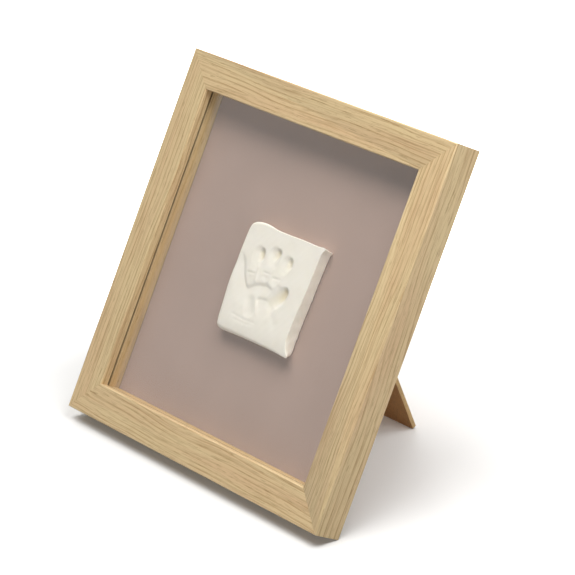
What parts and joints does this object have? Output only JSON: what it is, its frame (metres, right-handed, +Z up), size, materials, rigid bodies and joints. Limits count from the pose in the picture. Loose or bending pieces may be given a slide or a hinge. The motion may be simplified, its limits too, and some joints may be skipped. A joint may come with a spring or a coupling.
{
  "type": "baby handprint frame",
  "caption": "Square oak-look box frame with glass, a taupe backing board and a clay slab with a baby's handprint, leaning on a folding easel leg.",
  "frame": {"origin": "on the table, under the middle of the whole object's box, with the leg opened", "axes": "+X is the viewer's right, along the frame's width; +Y points away from the viewer, to the leg; +Z up"},
  "size_m": [0.25, 0.1647, 0.2331],
  "materials": {
    "oak_moulding": "oak foil with open grain, satin",
    "oak_spacer": "oak foil, satin",
    "glass": "clear float glass",
    "card": "matt taupe card",
    "clay": "air-dried clay, matt",
    "adhesive_foam": "foam pad",
    "fibreboard": "bare brown fibreboard",
    "zinc_steel": "zinc-plated steel",
    "brass_plate": "brass-plated steel",
    "rivet_steel": "plated rivets"
  },
  "bodies": {
    "frame": {"rail_top": "oak_moulding", "rail_bottom": "oak_moulding", "rail_left": "oak_moulding", "rail_right": "oak_moulding", "spacer_top": "oak_spacer", "spacer_bottom": "oak_spacer", "spacer_left": "oak_spacer", "spacer_right": "oak_spacer", "glass_pane": "glass", "backing_board": "card", "clay_print": "clay", "adhesive_pads": "adhesive_foam", "back_panel": "fibreboard", "hinge_leaf_fixed": "zinc_steel", "hinge_pin": "zinc_steel", "corner_nails": "zinc_steel", "button_screws": "zinc_steel", "sawtooth_hanger": "brass_plate", "panel_rivets": "rivet_steel"},
    "leg": {"easel_leg": "fibreboard", "hinge_leaf_moving": "zinc_steel", "leg_rivets": "rivet_steel"},
    "left_upper_button": {"turn_button_left_upper": "zinc_steel"},
    "left_lower_button": {"turn_button_left_lower": "zinc_steel"},
    "right_upper_button": {"turn_button_right_upper": "zinc_steel"},
    "right_lower_button": {"turn_button_right_lower": "zinc_steel"}
  },
  "joints": [
    {"name": "leg_hinge", "type": "hinge", "parent": "frame", "child": "leg", "pos_m": [0, 0.01812, 0.16017], "axis": [-1, 0, 0], "range_deg": [0, 46.6]},
    {"name": "turn_button_left_upper_swivel", "type": "hinge", "parent": "frame", "child": "left_upper_button", "pos_m": [-0.1185, 0.0201, 0.16756], "axis": [0, 0.8965, -0.4431], "continuous": true},
    {"name": "turn_button_left_lower_swivel", "type": "hinge", "parent": "frame", "child": "left_lower_button", "pos_m": [-0.1185, -0.03528, 0.0555], "axis": [0, 0.8965, -0.4431], "continuous": true},
    {"name": "turn_button_right_upper_swivel", "type": "hinge", "parent": "frame", "child": "right_upper_button", "pos_m": [0.1185, 0.0201, 0.16756], "axis": [0, 0.8965, -0.4431], "continuous": true},
    {"name": "turn_button_right_lower_swivel", "type": "hinge", "parent": "frame", "child": "right_lower_button", "pos_m": [0.1185, -0.03528, 0.0555], "axis": [0, 0.8965, -0.4431], "continuous": true}
  ]
}
